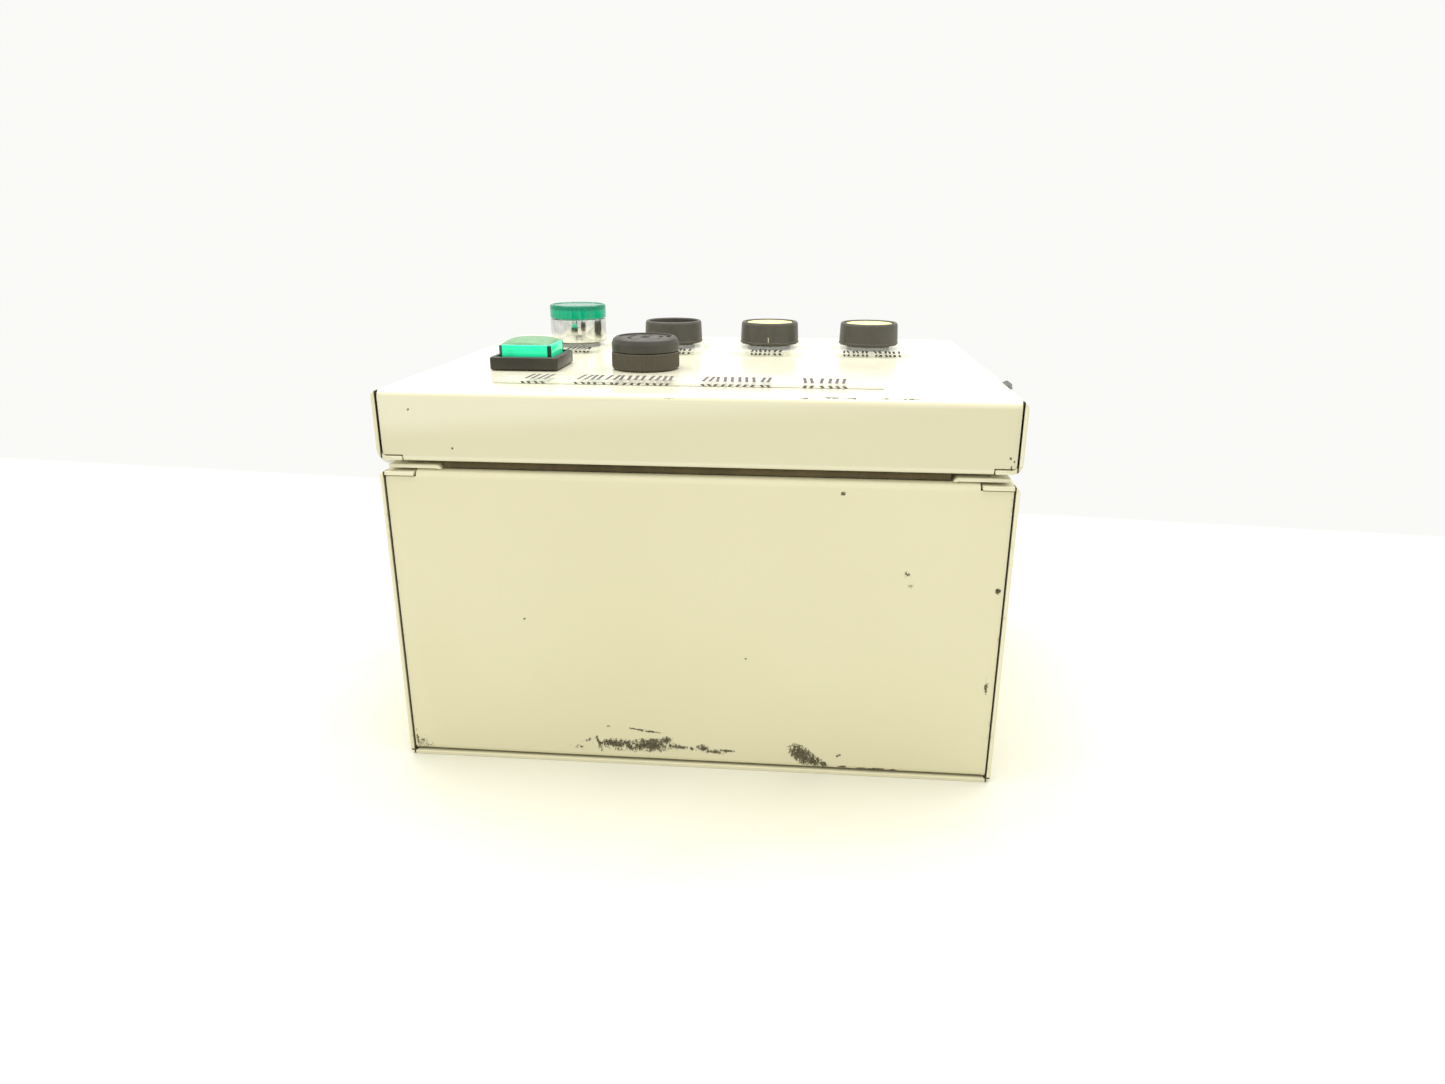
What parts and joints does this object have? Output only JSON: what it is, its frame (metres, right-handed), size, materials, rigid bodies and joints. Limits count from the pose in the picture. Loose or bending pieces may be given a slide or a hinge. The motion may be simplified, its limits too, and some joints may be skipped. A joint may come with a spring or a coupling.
{
  "type": "magnetic motor starter",
  "caption": "Wall-mounting sheet-steel motor starter: hinged door with pilot light, push buttons, illuminated button and buzzer, over a contactor with overload relay.",
  "frame": {"origin": "centre of the outer back (wall-mounting) face", "axes": "+Z out of the back towards the door, +X towards the latch side, -Y towards the end that is uppermost on a wall"},
  "size_m": [0.2719, 0.2016, 0.1813],
  "materials": {
    "cream_paint": "semi-gloss baked cream paint on folded sheet steel, chipped and grimy along the lower edges",
    "black_rubber": "matt black rubber",
    "gasket_foam": "matt black closed-cell foam",
    "zinc_steel": "zinc-plated steel, satin",
    "moulded_black": "moulded dark phenolic, fine grain",
    "toggle_black": "black moulded plastic, satin",
    "core_steel": "laminated silicon steel",
    "coil_copper": "varnished copper winding under tape",
    "beige_plastic": "beige moulded plastic",
    "red_plastic": "red moulded plastic",
    "wire_pvc": "PVC-insulated wire bundle",
    "clear_acrylic": "clear acrylic, polished",
    "chrome": "polished nickel-chrome plate",
    "green_lens": "translucent green lens, polished",
    "operator_black": "black moulded plastic, fine spark-eroded grain",
    "ivory_plastic": "pale ivory moulded plastic, satin"
  },
  "bodies": {
    "enclosure": {"body_wrap": "cream_paint", "end_wall_top": "cream_paint", "end_wall_bottom": "cream_paint", "cable_grommet_1": "black_rubber", "cable_grommet_2": "black_rubber", "side_rail_left": "cream_paint", "side_rail_right": "cream_paint", "gasket_near": "gasket_foam", "gasket_far": "gasket_foam", "gasket_left": "gasket_foam", "gasket_right": "gasket_foam", "mounting_plate": "zinc_steel", "plate_nut_1": "zinc_steel", "plate_nut_2": "zinc_steel", "plate_nut_3": "zinc_steel", "plate_nut_4": "zinc_steel", "circuit_protector": "moulded_black", "contactor_base": "moulded_black", "magnet_core": "core_steel", "magnet_coil": "coil_copper", "contactor_housing": "moulded_black", "overload_relay": "moulded_black", "terminal_block": "moulded_black", "wire_loom": "wire_pvc", "door_loom": "wire_pvc", "hinge_leaf_body_1": "zinc_steel", "hinge_leaf_body_2": "zinc_steel", "hinge_pin_1": "zinc_steel", "hinge_pin_2": "zinc_steel", "latch_keeper": "zinc_steel"},
    "toggle": {"protector_toggle": "toggle_black"},
    "armature": {"contactor_armature": "beige_plastic"},
    "dial": {"overload_dial": "beige_plastic"},
    "reset": {"overload_reset": "red_plastic"},
    "door": {"door_pan": "cream_paint", "hinge_leaf_door_1": "zinc_steel", "hinge_leaf_door_2": "zinc_steel", "label_plate": "clear_acrylic", "legend_plate_1": "clear_acrylic", "legend_plate_2": "clear_acrylic", "legend_plate_3": "clear_acrylic", "legend_plate_4": "clear_acrylic", "pilot_housing": "chrome", "pilot_lens": "green_lens", "button_guard_1": "operator_black", "button_guard_2": "operator_black", "button_guard_3": "operator_black", "contact_block_1": "moulded_black", "contact_block_2": "moulded_black", "contact_block_3": "moulded_black", "square_bezel": "operator_black", "buzzer_base": "operator_black", "buzzer_cover": "operator_black", "latch_base": "zinc_steel"},
    "cap_1": {"button_cap_1": "operator_black"},
    "cap_2": {"button_cap_2": "ivory_plastic"},
    "cap_3": {"button_cap_3": "ivory_plastic"},
    "lens_button": {"square_lens": "green_lens"},
    "lever": {"latch_lever": "zinc_steel"},
    "bail": {"latch_bail": "zinc_steel"}
  },
  "joints": [
    {"name": "door_hinge", "type": "hinge", "parent": "enclosure", "child": "door", "pos_m": [-0.1295, 0, 0.1302], "axis": [0, -1, 0], "range_deg": [0, 115], "deforming": ["door_loom"]},
    {"name": "button_1_press", "type": "slide", "parent": "door", "child": "cap_1", "axis": [0, 0, -1], "range_m": [0, 0.003], "stiffness_N_per_m": 600, "springref_m": -0.003},
    {"name": "button_2_press", "type": "slide", "parent": "door", "child": "cap_2", "axis": [0, 0, -1], "range_m": [0, 0.005], "stiffness_N_per_m": 600, "springref_m": -0.003},
    {"name": "button_3_press", "type": "slide", "parent": "door", "child": "cap_3", "axis": [0, 0, -1], "range_m": [0, 0.005], "stiffness_N_per_m": 600, "springref_m": -0.003},
    {"name": "square_button_press", "type": "slide", "parent": "door", "child": "lens_button", "axis": [0, 0, -1], "range_m": [0, 0.003], "stiffness_N_per_m": 600, "springref_m": -0.003},
    {"name": "latch_lever_pivot", "type": "hinge", "parent": "door", "child": "lever", "pos_m": [0.133, 0, 0.14], "axis": [0, 1, 0], "range_deg": [0, 65]},
    {"name": "latch_bail_pivot", "type": "hinge", "parent": "lever", "child": "bail", "pos_m": [0.1296, 0, 0.146], "axis": [0, 1, 0], "range_deg": [-65, 0]},
    {"name": "armature_slide", "type": "slide", "parent": "enclosure", "child": "armature", "axis": [0, 0, -1], "range_m": [0, 0.006], "stiffness_N_per_m": 400, "springref_m": -0.004},
    {"name": "overload_reset_press", "type": "slide", "parent": "enclosure", "child": "reset", "axis": [0, 0, -1], "range_m": [0, 0.003], "stiffness_N_per_m": 500, "springref_m": -0.002},
    {"name": "overload_dial_turn", "type": "hinge", "parent": "enclosure", "child": "dial", "pos_m": [0.031, 0.034, 0.0705], "axis": [0, 0, 1], "range_deg": [0, 240]},
    {"name": "protector_toggle_tilt", "type": "hinge", "parent": "enclosure", "child": "toggle", "pos_m": [-0.07, -0.03, 0.0783], "axis": [1, 0, 0], "range_deg": [-36, 0]}
  ],
  "couplings": [
    {"joint": "latch_bail_pivot", "follows": "latch_lever_pivot", "ratio": -1}
  ]
}
